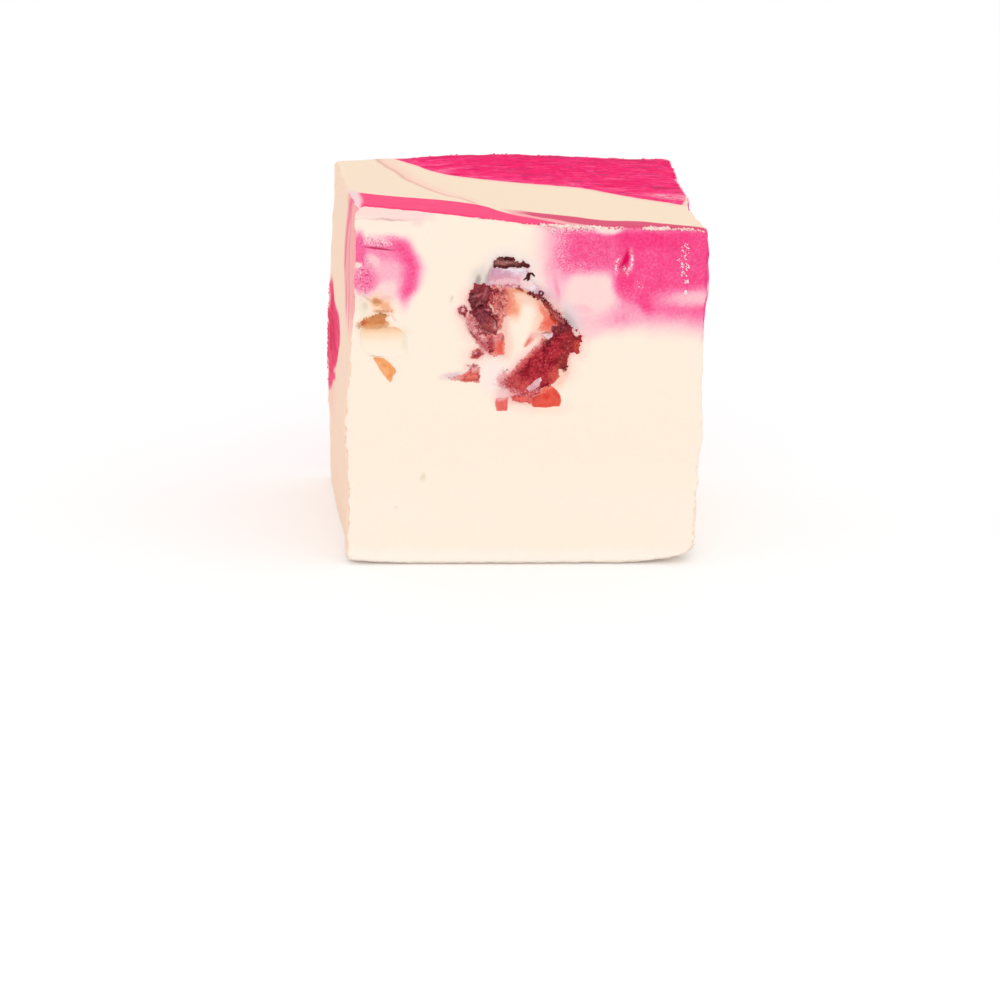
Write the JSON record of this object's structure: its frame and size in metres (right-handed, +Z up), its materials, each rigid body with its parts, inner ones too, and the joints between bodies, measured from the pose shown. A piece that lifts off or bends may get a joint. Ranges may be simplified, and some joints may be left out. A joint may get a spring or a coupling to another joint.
{
  "type": "white chocolate fudge",
  "caption": "Hand-cut cube of pink-marbled white chocolate fudge with torn dried fruit and nut showing in its front face.",
  "frame": {"origin": "middle of the flat base, on the surface that the cube stands on", "axes": "+Z up, -Y out of the front face that shows the fruit and the nut, +X to the right of someone facing it"},
  "size_m": [0.0364, 0.0334, 0.0358],
  "materials": {
    "fudge": "satin",
    "fruit_skin": "gloss",
    "fruit_flesh": "gloss",
    "nut_kernel": "satin",
    "nut_skin": "satin"
  },
  "bodies": {
    "root": {"fudge_block": "fudge", "dried_fruit": "fruit_skin", "fruit_skin_flake": "fruit_skin", "fruit_flesh_chip": "fruit_flesh", "fruit_small_chip": "fruit_flesh", "fruit_shred": "fruit_flesh", "nut_piece": "nut_kernel", "nut_sliver": "nut_skin"}
  },
  "joints": []
}
